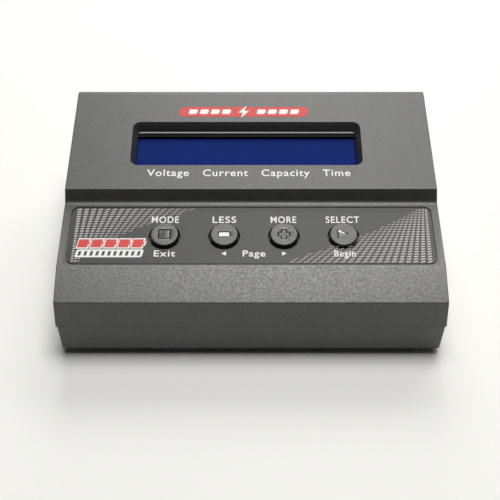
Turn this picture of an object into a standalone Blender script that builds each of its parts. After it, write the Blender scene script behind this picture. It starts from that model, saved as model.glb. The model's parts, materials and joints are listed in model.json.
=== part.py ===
"""Balance battery charger: a two-tier case with a display, four keys, its boards, sockets and fan.

Metres, +X to the right, +Y to the back, +Z up. The origin is on the table, at the middle of the case.
"""
import math

import bmesh
import bpy
from mathutils import Matrix, Vector

MM = 0.001

# --- driving dimensions: the case --------------------------------------------------------------
FOOT_HEIGHT = 2.0 * MM
PARTING_Z = 12.2 * MM
FRONT_EDGE_Z = 21.6 * MM
FRONT_Y = -35.9 * MM
# The finished assembly moves this far towards the front, which puts its middle over the origin.
ORIGIN_SHIFT = 1.25 * MM
HALF_WIDTH = 53.0 * MM
DRAFT = math.radians(2.7)
WALL = 2.0 * MM
GAP = 0.3 * MM
EDGE_ROUND = 0.6 * MM
BACK_ROUND = 2.5 * MM
LOWER_INSET = 0.2 * MM
LIP_INSET = 0.9 * MM
LIP_HEIGHT = 1.3 * MM

# Runs (towards the back) and rises of the stretches of the side profile, from the front edge up.
SLOPE_RUN = 9.3 * MM
SLOPE_RISE = 4.2 * MM
PANEL_TILT = math.radians(7.3)
KEYPAD_RUN = 22.5 * MM
STEP_RUN = 1.8 * MM
STEP_RISE = 3.6 * MM
HOOD_RUN = 40.0 * MM

# --- display ------------------------------------------------------------------------------------
WINDOW_CENTRE = (-1.3 * MM, 17.5 * MM)
WINDOW_SIZE = (67.0 * MM, 17.1 * MM)
WINDOW_CHAMFER = 1.35 * MM
WINDOW_CHAMFER_DEPTH = 2.1 * MM
WINDOW_CORNER = 0.9 * MM
DISPLAY_CENTRE = (-1.3 * MM, 16.0 * MM)
VIEWING_AREA = (64.5 * MM, 13.8 * MM)
BEZEL_SIZE = (71.2 * MM, 24.0 * MM)
BEZEL_TOP = -3.1 * MM
BEZEL_HEIGHT = 5.4 * MM
SHEET = 0.6 * MM
GLASS_SIZE = (68.6 * MM, 18.0 * MM)
GLASS_THICK = 1.8 * MM
BACKLIGHT_SIZE = (69.0 * MM, 20.5 * MM)
DISPLAY_BOARD = (83.4 * MM, 29.5 * MM)
BOARD_THICK = 1.6 * MM

# --- keypad -------------------------------------------------------------------------------------
OVERLAY_SIZE = (100.6 * MM, 19.7 * MM)
OVERLAY_CENTRE = (0.1 * MM, 11.0 * MM)
OVERLAY_CORNER = 1.8 * MM
OVERLAY_THICK = 0.35 * MM
RECESS_DEPTH = 0.7 * MM
KEY_NAMES = ("stop", "decrease", "increase", "start")
KEY_PITCH = 16.5 * MM
KEY_ROW = (0.8 * MM, 10.5 * MM)
KEY_RADIUS = 3.85 * MM
KEY_FACE_RADIUS = 3.5 * MM
KEY_HOLE_RADIUS = 4.45 * MM
KEY_TOP = 0.95 * MM
KEY_ICON_DEPTH = 0.3 * MM
KEY_ICON_REACH = 1.7 * MM
KEY_ICON_ARM = 0.85 * MM
KEY_FLANGE_RADIUS = 5.2 * MM
KEY_FLANGE = 0.9 * MM
KEY_STEM_RADIUS = 2.0 * MM
KEY_STEM = 1.0 * MM
SWITCH_SIZE = 6.0 * MM
SWITCH_HEIGHT = 3.5 * MM
SWITCH_WELL_RADIUS = 2.05 * MM
SWITCH_WELL_DEPTH = 2.4 * MM
PLUNGER_RADIUS = 1.75 * MM
PLUNGER_RISE = 0.9 * MM
PLUNGER_DEPTH = 1.6 * MM

# --- boards, bosses and posts -------------------------------------------------------------------
FLOOR_TOP = FOOT_HEIGHT + WALL
MAIN_BOARD_Z = 8.0 * MM
MAIN_BOARD_TOP = MAIN_BOARD_Z + BOARD_THICK
ON_BOARD = MAIN_BOARD_TOP + GAP
BOARD_HALF = (43.2 * MM, 25.0 * MM)
BOARD_POST_PLACE = (39.0 * MM, 21.0 * MM)
BOARD_POST_RADIUS = 2.5 * MM
BOARD_HOLE_RADIUS = 1.3 * MM
BOSS_PLACE = (46.6 * MM, 30.0 * MM)
BOSS_RADIUS = 3.3 * MM
BOSS_BOTTOM = 9.5 * MM
CASE_BOSS_RADIUS = 4.0 * MM
DISPLAY_POST_PLACE = (39.0 * MM, 12.2 * MM)
DISPLAY_POST_RADIUS = 2.4 * MM

# --- screws and feet ----------------------------------------------------------------------------
# Head radius, head height, shaft radius and shaft length.
CASE_SCREW = (2.75 * MM, 2.0 * MM, 1.5 * MM, 10.0 * MM)
DISPLAY_SCREW = (2.0 * MM, 1.3 * MM, 1.0 * MM, 5.0 * MM)
CASE_SCREW_SEAT = 6.2 * MM
SCREW_WELL_RADIUS = 3.1 * MM
SCREW_HOLE_RADIUS = 1.8 * MM
FOOT_PLACE = (36.0 * MM, 27.0 * MM)
FOOT_RADIUS = 5.0 * MM

# --- slots in the walls and the floor -----------------------------------------------------------
SLOT_WIDTH = 1.6 * MM
GRILLE_PITCH = 3.2 * MM
GRILLE_BOTTOM = 13.6 * MM
GRILLE_HEIGHT = 15.2 * MM
LOW_SLOT_BOTTOM = 6.4 * MM
LOW_SLOT_TOP = 10.6 * MM
BACK_VENT_PITCH = 5.5 * MM
BACK_VENT_BOTTOM = 15.0 * MM
BACK_VENT_TOP = 24.0 * MM
FLOOR_VENT_PITCH = 6.0 * MM
FLOOR_VENT_ROWS = (-12.0 * MM, 8.0 * MM)
FLOOR_VENT_LENGTH = 13.0 * MM

# --- sockets ------------------------------------------------------------------------------------
SOCKET_FACE_X = 52.7 * MM
SOCKET_PITCH = 2.5 * MM
SOCKET_END = 4.9 * MM
SOCKET_HEIGHT = 5.75 * MM
SOCKET_LENGTH = 7.0 * MM
SOCKET_SKIN = 0.7 * MM
SOCKET_SPACE = 0.5 * MM
LOWER_ROW_Z = 9.2 * MM
UPPER_ROW_Z = 17.6 * MM
LOWER_ROW_START = -24.9 * MM
UPPER_ROW_START = 0.3 * MM
OUTPUT_Y = (-19.5 * MM, -7.5 * MM)
OUTPUT_FACE_X = 53.0 * MM
OUTPUT_RADIUS = 4.3 * MM
OUTPUT_BORE_RADIUS = 3.0 * MM
OUTPUT_LENGTH = 16.0 * MM
SLEEVE_RADIUS = 2.7 * MM
SLEEVE_BORE_RADIUS = 2.05 * MM
PORT_FACE_X = -52.7 * MM
PORT_BOTTOM = 13.2 * MM
PORT_BACK_X = -38.0 * MM
PORT_FOOT_X = -43.0 * MM
JACK_Y = -17.5 * MM
JACK_HALF_WIDTH = 4.5 * MM
JACK_HEIGHT = 11.0 * MM
JACK_BORE_RADIUS = 3.1 * MM
JACK_PIN_RADIUS = 1.2 * MM
DATA_Y = -4.5 * MM
DATA_HALF_WIDTH = 4.2 * MM
DATA_HEIGHT = 3.5 * MM
DATA_PIN_PITCH = 2.54 * MM

# --- power parts --------------------------------------------------------------------------------
TRANSISTOR_PITCH = 12.0 * MM
TRANSISTOR_ROW = (-6.0 * MM, 13.0 * MM)
TRANSISTOR_SIZE = (10.0 * MM, 8.8 * MM, 4.4 * MM)
SINK_X = (-31.0 * MM, 17.0 * MM)
SINK_Y = (7.0 * MM, 21.0 * MM)
SINK_BASE = 2.0 * MM
SINK_HEIGHT = 5.6 * MM
FIN_COUNT = 12
FIN_THICK = 1.0 * MM
CAPACITOR_X = (22.0 * MM, 33.0 * MM)
CAPACITOR_Y = 14.0 * MM
CAPACITOR_RADIUS = 4.5 * MM
CAPACITOR_HEIGHT = 9.5 * MM
COIL_PLACE = (-26.0 * MM, -3.6 * MM)
CORE_RADIUS = 5.3 * MM
CORE_THICK = 2.1 * MM
WIRE_RADIUS = 0.4 * MM
WIRE_TURNS = 14
CHIP_CENTRE = (0.0, -10.0 * MM)
CHIP_SIZE = 12.0 * MM
CHIP_HEIGHT = 1.4 * MM
BUZZER_PLACE = (16.0 * MM, -17.0 * MM)
BUZZER_RADIUS = 4.6 * MM
BUZZER_HEIGHT = 5.5 * MM

# --- fan ----------------------------------------------------------------------------------------
FAN_SIZE = 25.0 * MM
FAN_DEPTH = 6.5 * MM
FAN_CENTRE = Vector((-47.2 * MM, 13.0 * MM, 17.6 * MM))
FAN_BORE_RADIUS = 11.7 * MM
HUB_RADIUS = 5.0 * MM
BLADE_REACH = 11.1 * MM
BLADE_WIDTH = 5.2 * MM
BLADE_THICK = 0.7 * MM
BLADE_PITCH = math.radians(38)
BLADE_COUNT = 7

OVERCUT = 1.0 * MM

ROUND = 24

for old in list(bpy.data.objects):
    bpy.data.objects.remove(old, do_unlink=True)


def collection(name):
    made = bpy.data.collections.new(name)
    bpy.context.scene.collection.children.link(made)
    return made


PARTS = collection("balance_battery_charger")
CUTTERS = collection("cutters")


# --- materials ----------------------------------------------------------------------------------
def material(name, colour, roughness, metallic=0.0):
    made = bpy.data.materials.new(name)
    made.use_nodes = True
    shader = made.node_tree.nodes["Principled BSDF"]
    shader.inputs["Base Color"].default_value = (*colour, 1.0)
    shader.inputs["Roughness"].default_value = roughness
    shader.inputs["Metallic"].default_value = metallic
    return made


CASE_BLACK = material("case_plastic", (0.035, 0.036, 0.035), 0.55)
KEY_GREY = material("key_plastic", (0.05, 0.05, 0.05), 0.45)
OVERLAY_FILM = material("overlay_film", (0.03, 0.03, 0.03), 0.4)
RUBBER = material("foot_rubber", (0.02, 0.02, 0.02), 0.9)
STEEL = material("screw_steel", (0.35, 0.35, 0.36), 0.35, 1.0)
BEZEL_PAINT = material("bezel_paint", (0.01, 0.01, 0.012), 0.3, 0.5)
DISPLAY_BLUE = material("display_glass", (0.01, 0.02, 0.14), 0.1)
DIFFUSER = material("backlight_diffuser", (0.7, 0.75, 0.8), 0.4)
BOARD_GREEN = material("circuit_board", (0.02, 0.12, 0.05), 0.5)
SWITCH_BLACK = material("switch_plastic", (0.03, 0.03, 0.03), 0.5)
ALUMINIUM = material("heat_sink_aluminium", (0.6, 0.6, 0.62), 0.4, 1.0)
EPOXY = material("component_epoxy", (0.02, 0.02, 0.02), 0.5)
FERRITE = material("ferrite", (0.35, 0.3, 0.05), 0.6)
COPPER = material("enamelled_copper", (0.6, 0.22, 0.07), 0.3, 0.9)
CAN_SLEEVE = material("capacitor_sleeve", (0.02, 0.03, 0.1), 0.35)
SOCKET_WHITE = material("socket_plastic", (0.8, 0.78, 0.7), 0.4)
SOCKET_RED = material("red_insulator", (0.5, 0.01, 0.01), 0.35)
SOCKET_BLACK = material("black_insulator", (0.02, 0.02, 0.02), 0.35)
BRASS = material("contact_brass", (0.7, 0.5, 0.15), 0.25, 1.0)
FAN_BLACK = material("fan_plastic", (0.02, 0.02, 0.02), 0.5)


# --- building blocks ----------------------------------------------------------------------------
def put(name, mesh, look, place=None):
    """A finished mesh becomes a named part, or a cutter when it has no material."""
    obj = bpy.data.objects.new(name, mesh)
    if look is None:
        CUTTERS.objects.link(obj)
        obj.hide_render = True
        obj.display_type = "WIRE"
    else:
        PARTS.objects.link(obj)
        mesh.materials.append(look)
    if place is not None:
        obj.matrix_world = place
    return obj


def mesh_from(bm, name, smooth=False):
    bmesh.ops.recalc_face_normals(bm, faces=bm.faces)
    mesh = bpy.data.meshes.new(name)
    bm.to_mesh(mesh)
    bm.free()
    if smooth:
        mesh.shade_smooth()
        mesh.set_sharp_from_angle(angle=math.radians(35))
    return mesh


def add_box(bm, low, high):
    """One box between two corners, added to bm."""
    low = Vector(low)
    high = Vector(high)
    move = Matrix.Translation((low + high) / 2)
    stretch = Matrix.Diagonal((*(high - low), 1.0))
    return bmesh.ops.create_cube(bm, size=1.0, matrix=move @ stretch)["verts"]


def add_rod(bm, start, end, radius, end_radius=None, segments=ROUND):
    """One round rod or cone between two points, added to bm."""
    start = Vector(start)
    end = Vector(end)
    turn = (end - start).to_track_quat("Z", "Y").to_matrix().to_4x4()
    place = Matrix.Translation((start + end) / 2) @ turn
    top = radius if end_radius is None else end_radius
    bmesh.ops.create_cone(bm, cap_ends=True, segments=segments, radius1=radius, radius2=top,
                          depth=(end - start).length, matrix=place)


def boxes(name, corners, look, place=None):
    bm = bmesh.new()
    for low, high in corners:
        add_box(bm, low, high)
    return put(name, mesh_from(bm, name), look, place)


def rods(name, ends, look, place=None, segments=ROUND):
    bm = bmesh.new()
    for start, end, radius in ends:
        add_rod(bm, start, end, radius, segments=segments)
    return put(name, mesh_from(bm, name, smooth=True), look, place)


def spun(name, outline, look, place=None, segments=ROUND):
    """A turned piece: outline is (radius, height) from top to bottom, about the local Z axis."""
    mesh = bpy.data.meshes.new(name)
    mesh.from_pydata([(r, 0.0, h) for r, h in outline], [(i, i + 1) for i in range(len(outline) - 1)], [])
    obj = put(name, mesh, look, place)
    turn = obj.modifiers.new("Turn", "SCREW")
    turn.axis = "Z"
    turn.steps = segments
    turn.render_steps = segments
    turn.use_merge_vertices = True
    turn.merge_threshold = 0.00002
    return obj


def rounded_outline(width, depth, radius, steps=4):
    """Corner points of a rounded rectangle centred on the origin, anticlockwise."""
    points = []
    for corner, (sx, sy) in enumerate(((1, 1), (-1, 1), (-1, -1), (1, -1))):
        cx = sx * (width / 2 - radius)
        cy = sy * (depth / 2 - radius)
        for i in range(steps + 1):
            angle = math.radians(90 * corner + 90 * i / steps)
            points.append((cx + radius * math.cos(angle), cy + radius * math.sin(angle)))
    return points


def curve_mesh(name, curve, smooth=False):
    """A curve's evaluated mesh with its caps welded on."""
    guide = bpy.data.objects.new(name + "_guide", curve)
    CUTTERS.objects.link(guide)
    bpy.context.view_layer.update()
    raw = bpy.data.meshes.new_from_object(guide.evaluated_get(bpy.context.evaluated_depsgraph_get()))
    bpy.data.objects.remove(guide, do_unlink=True)
    bm = bmesh.new()
    bm.from_mesh(raw)
    bpy.data.meshes.remove(raw)
    bmesh.ops.remove_doubles(bm, verts=bm.verts, dist=0.005 * MM)
    mesh = mesh_from(bm, name, smooth)
    mesh.materials.clear()
    return mesh


def flat_curve(name, outline, thickness, holes=()):
    """A flat outline with optional round holes (x, y, radius, sides), centred on its thickness."""
    curve = bpy.data.curves.new(name, "CURVE")
    curve.dimensions = "2D"
    curve.fill_mode = "BOTH"
    curve.extrude = thickness / 2
    rings = [outline]
    for x, y, radius, count in holes:
        angles = [2 * math.pi * i / count for i in range(count)]
        rings.append([(x + radius * math.cos(a), y + radius * math.sin(a)) for a in angles])
    for ring in rings:
        spline = curve.splines.new("POLY")
        spline.points.add(len(ring) - 1)
        spline.use_cyclic_u = True
        for point, (x, y) in zip(spline.points, ring):
            point.co = (x, y, 0.0, 1.0)
    return curve_mesh(name, curve)


def loft(name, lower, lower_z, upper, upper_z, look, place=None):
    """A block between two outlines that have the same number of points."""
    bm = bmesh.new()
    bottom = [bm.verts.new((x, y, lower_z)) for x, y in lower]
    top = [bm.verts.new((x, y, upper_z)) for x, y in upper]
    bm.faces.new(bottom)
    bm.faces.new(top)
    for i in range(len(bottom)):
        j = (i + 1) % len(bottom)
        bm.faces.new((bottom[i], bottom[j], top[j], top[i]))
    return put(name, mesh_from(bm, name), look, place)


def boolean(target, other, operation):
    change = target.modifiers.new(other.name, "BOOLEAN")
    change.operation = operation
    change.object = other
    change.solver = "EXACT"


def cut(target, *others):
    for other in others:
        boolean(target, other, "DIFFERENCE")


def join(target, *others):
    for other in others:
        boolean(target, other, "UNION")


def round_edges(obj, width, segments=2, angle=30.0):
    bevel = obj.modifiers.new("Rounded edges", "BEVEL")
    bevel.width = width
    bevel.segments = segments
    bevel.limit_method = "ANGLE"
    bevel.angle_limit = math.radians(angle)
    return bevel


# --- the side profile ---------------------------------------------------------------------------
def side_profile():
    """Points (y, z) of the top cover's outside, from the parting line at the front to the back."""
    keypad_rise = KEYPAD_RUN * math.tan(PANEL_TILT)
    hood_rise = HOOD_RUN * math.tan(PANEL_TILT)
    lean = (FRONT_EDGE_Z - PARTING_Z) * math.tan(DRAFT)
    points = [(FRONT_Y - lean, PARTING_Z), (FRONT_Y, FRONT_EDGE_Z)]
    for run, rise in ((SLOPE_RUN, SLOPE_RISE), (KEYPAD_RUN, keypad_rise), (STEP_RUN, STEP_RISE),
                      (HOOD_RUN, hood_rise)):
        y, z = points[-1]
        points.append((y + run, z + rise))
    y, z = points[-1]
    points.append((y + (z - PARTING_Z) * math.tan(DRAFT), PARTING_Z))
    return points


PROFILE = side_profile()
KINK = PROFILE[2]
HOOD_FRONT = PROFILE[4]
BACK_Y = PROFILE[-1][0]


def panel(origin):
    """Frame of a tilted panel: X to the right, Y up the slope, Z out of the panel."""
    return Matrix.Translation((0.0, origin[0], origin[1])) @ Matrix.Rotation(PANEL_TILT, 4, "X")


HOOD = panel(HOOD_FRONT)
KEYPAD = panel(KINK)


def half_width(z):
    return HALF_WIDTH - (z - FRONT_EDGE_Z) * math.tan(DRAFT)


def meet(a, b, c, d):
    """Where line ab crosses line cd."""
    ab = Vector(b) - Vector(a)
    cd = Vector(d) - Vector(c)
    along = (Vector(c) - Vector(a)).cross(cd) / ab.cross(cd)
    return tuple(Vector(a) + ab * along)


def moved_in(points, distance):
    """The same open outline, moved towards the inside by distance."""
    lines = []
    for a, b in zip(points, points[1:]):
        inward = (Vector(b) - Vector(a)).normalized()
        shift = Vector((inward.y, -inward.x)) * distance
        lines.append((Vector(a) + shift, Vector(b) + shift))
    inner = [tuple(lines[0][0])]
    for (a, b), (c, d) in zip(lines, lines[1:]):
        inner.append(meet(a, b, c, d))
    inner.append(tuple(lines[-1][1]))
    return inner


def rounded_corner(before, corner, after, radius, steps=4):
    """Points of an arc that replaces a corner."""
    to_before = (Vector(before) - Vector(corner)).normalized()
    to_after = (Vector(after) - Vector(corner)).normalized()
    half = to_before.angle(to_after) / 2
    reach = radius / math.tan(half)
    centre = Vector(corner) + (to_before + to_after).normalized() * radius / math.sin(half)
    start = Vector(corner) + to_before * reach - centre
    sweep = (Vector(corner) + to_after * reach - centre).angle(start)
    points = []
    for i in range(steps + 1):
        angle = -sweep * i / steps
        turned = Matrix.Rotation(angle, 2) @ start
        points.append(tuple(centre + turned))
    return points


def wedge(name, profile, below, inset, look):
    """The side profile, taken down to the level below and extruded, with its sides leaned in."""
    (y_front, z_front), (y_back, z_back) = profile[0], profile[-1]
    drop_front = (z_front - below) * math.tan(DRAFT)
    drop_back = (z_back - below) * math.tan(DRAFT)
    outline = [(y_front - drop_front, below)] + list(profile[1:-1]) + [(y_back + drop_back, below)]
    bm = bmesh.new()
    bm.from_mesh(flat_curve(name, outline, 2.0))
    for v in bm.verts:
        y, z, side = v.co
        v.co = (side * (half_width(z) - inset), y, z)
    bmesh.ops.dissolve_limit(bm, angle_limit=0.001, verts=bm.verts, edges=bm.edges)
    return put(name, mesh_from(bm, name), look)


def at_corners(place):
    """The four places (x, y) that mirror one place about the middle of the case."""
    x, y = place
    return [(sx * x, sy * y) for sx in (-1, 1) for sy in (-1, 1)]


# --- top cover ----------------------------------------------------------------------------------
def build_top_cover(openings):
    before, corner, after = PROFILE[4], PROFILE[5], PROFILE[6]
    outer_profile = PROFILE[:5] + rounded_corner(before, corner, after, BACK_ROUND) + PROFILE[6:]
    cover = wedge("top_cover", outer_profile, PARTING_Z - 3 * MM, 0.0, CASE_BLACK)
    round_edges(cover, EDGE_ROUND, segments=3)
    inside = wedge("cover_hollow", moved_in(PROFILE, WALL), PARTING_Z - 6 * MM, WALL, None)
    wide = 2 * HALF_WIDTH
    below = boxes("below_parting_line", [((-wide, -wide, -wide), (wide, wide, PARTING_Z + GAP / 2))], None)
    rebate_box = lip_box(LIP_INSET, PARTING_Z - OVERCUT, PARTING_Z + LIP_HEIGHT + GAP)
    cut(cover, inside, boxes("cover_rebate", [rebate_box], None))
    join(cover, *cover_posts())
    cut(cover, below, *window_cutters(), *keypad_cutters(), *cover_screw_holes(), *openings,
        fan_grille(), back_vents())


def lip_box(inset, low, high):
    """Corners of a block that follows the parting line at some distance inside the cover's wall."""
    half = half_width(PARTING_Z) - inset
    return (-half, PROFILE[0][0] + inset, low), (half, BACK_Y - inset, high)


def cover_posts():
    """Posts under the cover: four for the case screws, four for the display, and the window's rim."""
    inside_skin = WALL / 2
    bosses = []
    for x, y in at_corners(BOSS_PLACE):
        top = surface_height(y - BOSS_RADIUS) - inside_skin
        bosses.append(((x, y, BOSS_BOTTOM), (x, y, top), BOSS_RADIUS))
    post_end = BEZEL_TOP - BEZEL_HEIGHT - GAP
    display_posts = [((x, y, -inside_skin), (x, y, post_end), DISPLAY_POST_RADIUS)
                     for x, y in display_screw_places()]
    u, v = WINDOW_CENTRE
    across = WINDOW_SIZE[0] / 2 + OVERCUT
    along = WINDOW_SIZE[1] / 2 + OVERCUT
    rim = ((u - across, v - along, BEZEL_TOP + GAP), (u + across, v + along, -inside_skin))
    return (rods("case_screw_bosses", bosses, None, segments=16),
            rods("display_posts", display_posts, None, HOOD, segments=16),
            boxes("window_rim", [rim], None, HOOD))


def surface_height(y):
    """Height of the cover's outside over a given y."""
    for (y0, z0), (y1, z1) in zip(PROFILE[1:], PROFILE[2:-1]):
        if y0 <= y <= y1:
            return z0 + (z1 - z0) * (y - y0) / (y1 - y0)
    return FRONT_EDGE_Z


def display_screw_places():
    u, v = DISPLAY_CENTRE
    return [(u + x, v + y) for x, y in at_corners(DISPLAY_POST_PLACE)]


def window_cutters():
    """The display's opening and the chamfer round it, which grows on above the hood."""
    u, v = WINDOW_CENTRE
    width, depth = WINDOW_SIZE
    place = HOOD @ Matrix.Translation((u, v, 0.0))
    inner = rounded_outline(width - 2 * WINDOW_CHAMFER, depth - 2 * WINDOW_CHAMFER, WINDOW_CORNER)
    opening = put("window_opening", flat_curve("window_opening", inner, 12 * MM), None, place)
    spread = WINDOW_CHAMFER * OVERCUT / WINDOW_CHAMFER_DEPTH
    outer = rounded_outline(width + 2 * spread, depth + 2 * spread, WINDOW_CORNER + WINDOW_CHAMFER + spread)
    chamfer = loft("window_chamfer", inner, -WINDOW_CHAMFER_DEPTH, outer, OVERCUT, None, place)
    return chamfer, opening


def keypad_cutters():
    clearance = 2 * GAP
    outline = rounded_outline(OVERLAY_SIZE[0] + clearance, OVERLAY_SIZE[1] + clearance, OVERLAY_CORNER + GAP)
    recess = put("overlay_recess", flat_curve("overlay_recess", outline, 2 * RECESS_DEPTH), None,
                 KEYPAD @ Matrix.Translation((*OVERLAY_CENTRE, 0.0)))
    holes = [((x, y, -8 * MM), (x, y, 4 * MM), KEY_HOLE_RADIUS) for x, y in key_places()]
    return recess, rods("key_holes", holes, None, KEYPAD, segments=28)


def key_places():
    first = KEY_ROW[0] - 1.5 * KEY_PITCH
    return [(first + i * KEY_PITCH, KEY_ROW[1]) for i in range(len(KEY_NAMES))]


def cover_screw_holes():
    case_holes = [((x, y, 5 * MM), (x, y, 18 * MM), SCREW_HOLE_RADIUS) for x, y in at_corners(BOSS_PLACE)]
    display_holes = [((x, y, -14 * MM), (x, y, -3.5 * MM), BOARD_HOLE_RADIUS)
                     for x, y in display_screw_places()]
    return (rods("cover_screw_holes", case_holes, None, segments=12),
            rods("display_screw_holes", display_holes, None, HOOD, segments=12))


def socket_width(pins):
    return SOCKET_PITCH * (pins - 1) + SOCKET_END


def socket_places():
    """(pins, centre y, centre z) of the five balance sockets, in two rows on the right side."""
    places = []
    for z, start, row in ((LOWER_ROW_Z, LOWER_ROW_START, (4, 6, 7)), (UPPER_ROW_Z, UPPER_ROW_START, (3, 5))):
        y = start
        for pins in row:
            places.append((pins, y + socket_width(pins) / 2, z))
            y += socket_width(pins) + SOCKET_SPACE
    return places


def side_openings():
    """Cut-outs for the sockets through both side walls, shared by the cover and the bottom case."""
    outside = HALF_WIDTH + 4 * MM
    inside = HALF_WIDTH - 6 * MM
    half_height = SOCKET_HEIGHT / 2 + GAP
    holes = []
    for pins, y, z in socket_places():
        half = socket_width(pins) / 2 + GAP / 2
        holes.append(((inside, y - half, z - half_height), (outside, y + half, z + half_height)))
    ports = ((JACK_Y, JACK_HALF_WIDTH, ON_BOARD + JACK_HEIGHT),
             (DATA_Y, DATA_HALF_WIDTH, PORT_BOTTOM + DATA_HEIGHT))
    for y, half, top in ports:
        holes.append(((-outside, y - half - GAP, PORT_BOTTOM - GAP), (-inside, y + half + GAP, top + GAP)))
    outputs = [((inside, y, UPPER_ROW_Z), (outside, y, UPPER_ROW_Z), OUTPUT_RADIUS + GAP) for y in OUTPUT_Y]
    return boxes("socket_openings", holes, None), rods("output_holes", outputs, None)


def left_side_slots(name, count, low, high):
    """Upright slots through the left wall, before the fan. The outer slots of a tall row are shorter."""
    bars = []
    last = (count - 1) / 2
    for i in range(count):
        y = FAN_CENTRE.y + (i - last) * GRILLE_PITCH
        shorter = GRILLE_PITCH if abs(i - last) == last and high - low > GRILLE_HEIGHT / 2 else 0.0
        bars.append(((-60 * MM, y - SLOT_WIDTH / 2, low), (-48 * MM, y + SLOT_WIDTH / 2, high - shorter)))
    return boxes(name, bars, None)


def fan_grille():
    return left_side_slots("fan_grille_slots", 7, GRILLE_BOTTOM, GRILLE_BOTTOM + GRILLE_HEIGHT)


def low_fan_slots():
    return left_side_slots("low_fan_slots", 5, LOW_SLOT_BOTTOM, LOW_SLOT_TOP)


def back_vents():
    """A row of upright slots in the back wall."""
    count = 12
    half = 1.0 * MM
    bars = []
    for i in range(count):
        x = (i - (count - 1) / 2) * BACK_VENT_PITCH
        bars.append(((x - half, BACK_Y - 6 * MM, BACK_VENT_BOTTOM),
                     (x + half, BACK_Y + 4 * MM, BACK_VENT_TOP)))
    return boxes("back_vent_slots", bars, None)


# --- bottom case --------------------------------------------------------------------------------
def build_bottom_case(openings):
    top = PARTING_Z - GAP / 2
    case = tapered_block("bottom_case", FOOT_HEIGHT, top + 3 * MM, 0.0, CASE_BLACK)
    round_edges(case, EDGE_ROUND, segments=3)
    wide = 2 * HALF_WIDTH
    above = boxes("above_parting_line", [((-wide, -wide, top), (wide, wide, wide))], None)
    hollow = tapered_block("case_hollow", FLOOR_TOP, top + 6 * MM, WALL, None)
    lip = boxes("case_lip", [lip_box(LIP_INSET + GAP, FLOOR_TOP + WALL, PARTING_Z + LIP_HEIGHT)], None)
    in_floor = FOOT_HEIGHT + WALL / 2
    bosses = []
    wells = []
    shafts = []
    for x, y in at_corners(BOSS_PLACE):
        bosses.append(((x, y, in_floor), (x, y, BOSS_BOTTOM - GAP), CASE_BOSS_RADIUS))
        wells.append(((x, y, -OVERCUT), (x, y, CASE_SCREW_SEAT), SCREW_WELL_RADIUS))
        shafts.append(((x, y, in_floor), (x, y, BOSS_BOTTOM + OVERCUT), SCREW_HOLE_RADIUS))
    posts = [((x, y, in_floor), (x, y, MAIN_BOARD_Z - GAP), BOARD_POST_RADIUS)
             for x, y in at_corners(BOARD_POST_PLACE)]
    cut(case, above)
    join(case, lip)
    cut(case, hollow)
    join(case, rods("case_bosses", bosses, None, segments=16), rods("board_posts", posts, None, segments=12))
    cut(case, rods("screw_head_wells", wells, None, segments=20),
        rods("screw_shaft_holes", shafts, None, segments=12), floor_vents(), low_fan_slots(), *openings)


def tapered_block(name, bottom, top, inset, look):
    """The lower shell's outline: a block whose four sides lean in towards the floor."""
    lean = math.tan(DRAFT)
    bm = bmesh.new()
    verts = add_box(bm, (-1, -1, bottom), (1, 1, top))
    for v in verts:
        rise = v.co.z - PARTING_Z
        half = half_width(PARTING_Z) - LOWER_INSET - inset + rise * lean
        front = PROFILE[0][0] + LOWER_INSET + inset - rise * lean
        back = BACK_Y - LOWER_INSET - inset + rise * lean
        v.co.x = half if v.co.x > 0 else -half
        v.co.y = back if v.co.y > 0 else front
    return put(name, mesh_from(bm, name), look)


def floor_vents():
    """Two rows of slots in the floor, under the power parts."""
    count = 9
    half = 1.1 * MM
    reach = FLOOR_VENT_LENGTH / 2
    bars = []
    for i in range(count):
        x = (i - (count - 1) / 2) * FLOOR_VENT_PITCH
        for y in FLOOR_VENT_ROWS:
            bars.append(((x - half, y - reach, -OVERCUT), (x + half, y + reach, FLOOR_TOP + OVERCUT)))
    return boxes("floor_vent_slots", bars, None)


# --- feet and screws ----------------------------------------------------------------------------
def corner_name(x, y):
    return ("front" if y < 0 else "back") + "_" + ("left" if x < 0 else "right")


def build_feet():
    top = FOOT_HEIGHT - GAP
    step = 0.4 * MM
    outline = [(0.0, top), (FOOT_RADIUS - step, top), (FOOT_RADIUS, top - step), (FOOT_RADIUS - step, GAP),
               (FOOT_RADIUS - 2 * step, 0.0), (0.0, 0.0)]
    for x, y in at_corners(FOOT_PLACE):
        spun(f"foot_{corner_name(x, y)}", outline, RUBBER, Matrix.Translation((x, y, 0.0)))


def build_screw(name, place, head_radius, head_height, shaft_radius, length):
    """A pan-head screw that points along +Z, with a cross recess under its head."""
    outline = [(0.0, length), (shaft_radius * 0.6, length), (shaft_radius, length - shaft_radius),
               (shaft_radius, 0.0), (head_radius, 0.0), (head_radius, -head_height * 0.6),
               (head_radius * 0.75, -head_height), (0.0, -head_height)]
    screw = spun(name, outline, STEEL, place, segments=16)
    arm = head_radius * 0.6
    thin = head_radius * 0.16
    for word, half_x, half_y in (("across", arm, thin), ("along", thin, arm)):
        slot = ((-half_x, -half_y, -head_height - OVERCUT), (half_x, half_y, -head_height * 0.4))
        cut(screw, boxes(f"{name}_slot_{word}", [slot], None, place))


def build_screws():
    for x, y in at_corners(BOSS_PLACE):
        place = Matrix.Translation((x, y, CASE_SCREW_SEAT - GAP))
        build_screw(f"case_screw_{corner_name(x, y)}", place, *CASE_SCREW)
    under_board = BEZEL_TOP - BEZEL_HEIGHT - 3 * GAP - BOARD_THICK
    for number, (x, y) in enumerate(display_screw_places(), 1):
        build_screw(f"display_screw_{number}", HOOD @ Matrix.Translation((x, y, under_board)), *DISPLAY_SCREW)


# --- display ------------------------------------------------------------------------------------
def centred_box(size, top, thickness):
    half_x = size[0] / 2
    half_y = size[1] / 2
    return (-half_x, -half_y, top - thickness), (half_x, half_y, top)


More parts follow.
